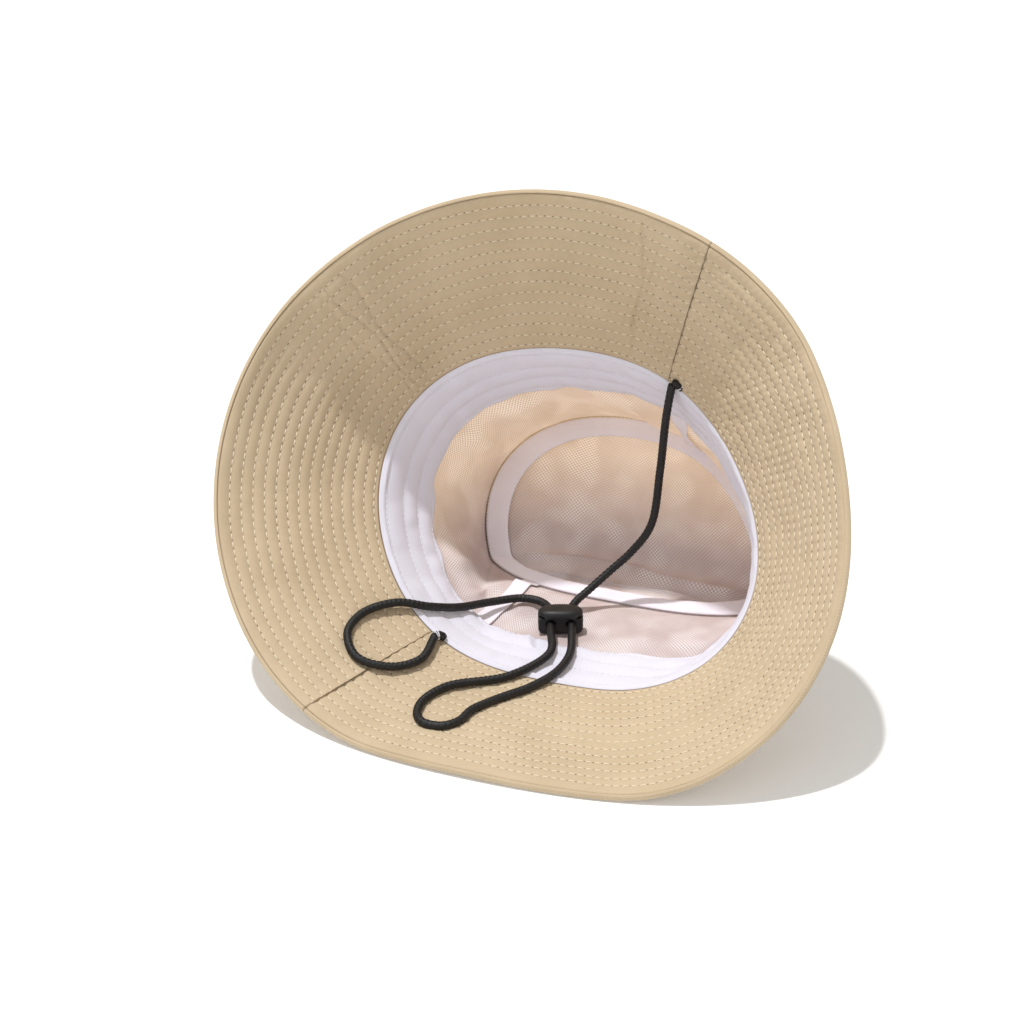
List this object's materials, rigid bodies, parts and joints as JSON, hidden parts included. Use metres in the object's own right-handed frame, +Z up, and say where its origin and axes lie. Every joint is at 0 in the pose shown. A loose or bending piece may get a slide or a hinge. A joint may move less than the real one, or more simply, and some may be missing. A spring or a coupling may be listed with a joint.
{
  "type": "boonie hat",
  "caption": "Soft wide-brim boonie hat lying on its side, with a quilted brim, a mesh-lined crown, a sweatband and a cord chin strap with a sliding lock.",
  "frame": {"origin": "on the ground, under the middle of the hat's box with the cord left out", "axes": "+X to the right and +Z up as the hat lies on its side; the opening looks towards -Y and up; the crown lies towards +Y"},
  "size_m": [0.3093, 0.2582, 0.2192],
  "materials": {
    "tan_fabric": "matt woven cotton",
    "stiffener": "matt felt",
    "lining_mesh": "matt fine mesh",
    "white_fabric": "matt soft weave",
    "black_cord": "matt braid",
    "black_plastic": "satin moulded",
    "spring_steel": "drawn wire"
  },
  "bodies": {
    "hat": {"brim_under_front": "tan_fabric", "brim_under_back": "tan_fabric", "brim_stiffener_front": "stiffener", "brim_stiffener_back": "stiffener", "brim_over_front": "tan_fabric", "brim_over_back": "tan_fabric", "crown_side_front": "tan_fabric", "crown_side_back": "tan_fabric", "crown_tip": "tan_fabric", "lining_side_front": "lining_mesh", "lining_side_back": "lining_mesh", "lining_tip": "lining_mesh", "tip_seam_tape": "white_fabric", "side_seam_tape_left": "white_fabric", "side_seam_tape_right": "white_fabric", "sweatband": "white_fabric", "chin_cord": "black_cord", "cord_anchor_left": "black_cord", "cord_anchor_right": "black_cord"},
    "cord_lock": {"cord_lock_body": "black_plastic", "cord_lock_spring": "spring_steel"},
    "lock_button": {"cord_lock_button": "black_plastic"}
  },
  "joints": [
    {"name": "cord_lock_slide", "type": "slide", "parent": "hat", "child": "cord_lock", "axis": [0.342, -0.9397, 0], "range_m": [0, 0.01]},
    {"name": "button_press", "type": "slide", "parent": "cord_lock", "child": "lock_button", "axis": [0, 0, -1], "range_m": [0, 0.001], "stiffness_N_per_m": 60, "springref_m": -0.002, "deforming": ["cord_lock_spring"]}
  ]
}
